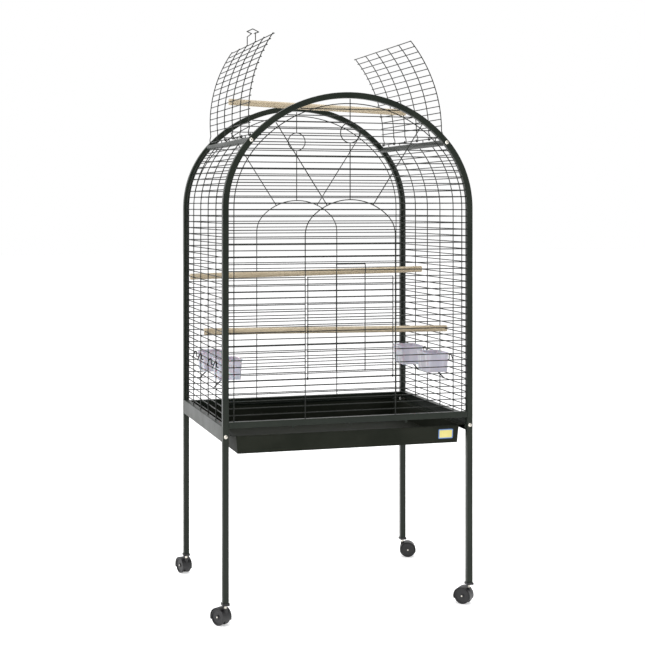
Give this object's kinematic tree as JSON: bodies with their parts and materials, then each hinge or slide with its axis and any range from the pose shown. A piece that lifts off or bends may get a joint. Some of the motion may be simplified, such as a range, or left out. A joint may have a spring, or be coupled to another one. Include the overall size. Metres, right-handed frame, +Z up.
{
  "type": "bird cage on stand",
  "caption": "Arched wire bird cage on a square-tube stand with casters, with drop-down front door, hinged roof flaps, perches, hung bowls and slide-out tray.",
  "frame": {"origin": "on the floor, under the middle of the cage between its four posts", "axes": "+X to the keeper's right seen from the front, +Y to the rear, +Z up"},
  "size_m": [0.8524, 0.6581, 1.7805],
  "materials": {
    "coated_frame": "black-green powder coat with a satin sheen",
    "coated_wire": "black-green powder coat over round wire",
    "coated_rail": "powder coat that looks greyer where it faces the light",
    "coated_tray": "smooth painted sheet steel",
    "bright_steel": "plated steel",
    "bare_steel": "plain drawn steel",
    "black_plastic": "moulded black plastic",
    "bowl_plastic": "pale lilac moulded plastic",
    "perch_wood": "pale sanded dowel"
  },
  "bodies": {
    "cage": {"base_bolts": "bright_steel", "base_nuts": "bright_steel", "caster_stems": "bright_steel", "front_arch_frame": "coated_frame", "front_grille": "coated_wire", "front_rail": "coated_frame", "front_rail_tabs": "coated_frame", "left_hinge_wire": "coated_wire", "left_roof_bar": "coated_rail", "left_side_grille": "coated_wire", "left_side_rail": "coated_rail", "left_tray_runner": "coated_frame", "leg_front_left": "coated_frame", "leg_front_right": "coated_frame", "leg_plug_front_left": "black_plastic", "leg_plug_front_right": "black_plastic", "leg_plug_rear_left": "black_plastic", "leg_plug_rear_right": "black_plastic", "leg_rear_left": "coated_frame", "leg_rear_right": "coated_frame", "leg_spigots": "bare_steel", "lower_perch": "perch_wood", "rear_arch_frame": "coated_frame", "rear_grille": "coated_wire", "rear_rail": "coated_frame", "right_hinge_wire": "coated_wire", "right_roof_bar": "coated_rail", "right_side_grille": "coated_wire", "right_side_rail": "coated_rail", "right_tray_runner": "coated_frame", "roof_bar_inserts": "bright_steel", "roof_bolts": "bright_steel", "upper_perch": "perch_wood"},
    "tray": {"tray": "coated_tray"},
    "front_door": {"front_door": "coated_wire"},
    "left_flap": {"left_roof_flap": "coated_wire", "roof_hook": "coated_wire"},
    "right_flap": {"right_roof_flap": "coated_wire"},
    "top_perch": {"top_perch": "perch_wood"},
    "bowl_left_front": {"bowl_left_front": "bowl_plastic", "bowl_hanger_left_front": "coated_wire"},
    "bowl_left_rear": {"bowl_left_rear": "bowl_plastic", "bowl_hanger_left_rear": "coated_wire"},
    "bowl_right_front": {"bowl_right_front": "bowl_plastic", "bowl_hanger_right_front": "coated_wire"},
    "bowl_right_rear": {"bowl_right_rear": "bowl_plastic", "bowl_hanger_right_rear": "coated_wire"},
    "caster_front_left": {"caster_hood_front_left": "black_plastic", "caster_axle_front_left": "bright_steel"},
    "wheels_front_left": {"caster_wheels_front_left": "black_plastic"},
    "caster_front_right": {"caster_hood_front_right": "black_plastic", "caster_axle_front_right": "bright_steel"},
    "wheels_front_right": {"caster_wheels_front_right": "black_plastic"},
    "caster_rear_left": {"caster_hood_rear_left": "black_plastic", "caster_axle_rear_left": "bright_steel"},
    "wheels_rear_left": {"caster_wheels_rear_left": "black_plastic"},
    "caster_rear_right": {"caster_hood_rear_right": "black_plastic", "caster_axle_rear_right": "bright_steel"},
    "wheels_rear_right": {"caster_wheels_rear_right": "black_plastic"}
  },
  "joints": [
    {"name": "tray_slide", "type": "slide", "parent": "cage", "child": "tray", "axis": [0, -1, 0], "range_m": [0, 0.45]},
    {"name": "door_hinge", "type": "hinge", "parent": "cage", "child": "front_door", "pos_m": [0, -0.2955, 0.71], "axis": [1, 0, 0], "range_deg": [0, 110]},
    {"name": "left_flap_hinge", "type": "hinge", "parent": "cage", "child": "left_flap", "pos_m": [-0.30353, 0, 1.43153], "axis": [0, 1, 0], "range_deg": [0, 52.5]},
    {"name": "right_flap_hinge", "type": "hinge", "parent": "cage", "child": "right_flap", "pos_m": [0.30353, 0, 1.43153], "axis": [0, -1, 0], "range_deg": [0, 46.6]},
    {"name": "top_perch_hinge", "type": "hinge", "parent": "left_flap", "child": "top_perch", "pos_m": [-0.30045, 0, 1.54725], "axis": [0, 1, 0], "range_deg": [0, 47.5]},
    {"name": "bowl_lift_left_front", "type": "slide", "parent": "cage", "child": "bowl_left_front", "axis": [0, 0, 1], "range_m": [0, 0.012]},
    {"name": "bowl_lift_left_rear", "type": "slide", "parent": "cage", "child": "bowl_left_rear", "axis": [0, 0, 1], "range_m": [0, 0.012]},
    {"name": "bowl_lift_right_front", "type": "slide", "parent": "cage", "child": "bowl_right_front", "axis": [0, 0, 1], "range_m": [0, 0.012]},
    {"name": "bowl_lift_right_rear", "type": "slide", "parent": "cage", "child": "bowl_right_rear", "axis": [0, 0, 1], "range_m": [0, 0.012]},
    {"name": "swivel_front_left", "type": "hinge", "parent": "cage", "child": "caster_front_left", "pos_m": [-0.3825, -0.2955, 0.05], "axis": [0, 0, 1], "continuous": true},
    {"name": "roll_front_left", "type": "hinge", "parent": "caster_front_left", "child": "wheels_front_left", "pos_m": [-0.3923, -0.2804, 0.025], "axis": [-0.8387, -0.5446, 0], "continuous": true},
    {"name": "swivel_front_right", "type": "hinge", "parent": "cage", "child": "caster_front_right", "pos_m": [0.3825, -0.2955, 0.05], "axis": [0, 0, 1], "continuous": true},
    {"name": "roll_front_right", "type": "hinge", "parent": "caster_front_right", "child": "wheels_front_right", "pos_m": [0.36934, -0.28322, 0.025], "axis": [-0.682, -0.7314, 0], "continuous": true},
    {"name": "swivel_rear_left", "type": "hinge", "parent": "cage", "child": "caster_rear_left", "pos_m": [-0.3825, 0.2955, 0.05], "axis": [0, 0, 1], "continuous": true},
    {"name": "roll_rear_left", "type": "hinge", "parent": "caster_rear_left", "child": "wheels_rear_left", "pos_m": [-0.38776, 0.31271, 0.025], "axis": [-0.9563, -0.2924, 0], "continuous": true},
    {"name": "swivel_rear_right", "type": "hinge", "parent": "cage", "child": "caster_rear_right", "pos_m": [0.3825, 0.2955, 0.05], "axis": [0, 0, 1], "continuous": true},
    {"name": "roll_rear_right", "type": "hinge", "parent": "caster_rear_right", "child": "wheels_rear_right", "pos_m": [0.39962, 0.28994, 0.025], "axis": [0.309, 0.9511, 0], "continuous": true}
  ],
  "couplings": [
    {"joint": "right_flap_hinge", "follows": "left_flap_hinge", "ratio": 0.88571},
    {"joint": "top_perch_hinge", "follows": "left_flap_hinge", "ratio": 0.9}
  ]
}
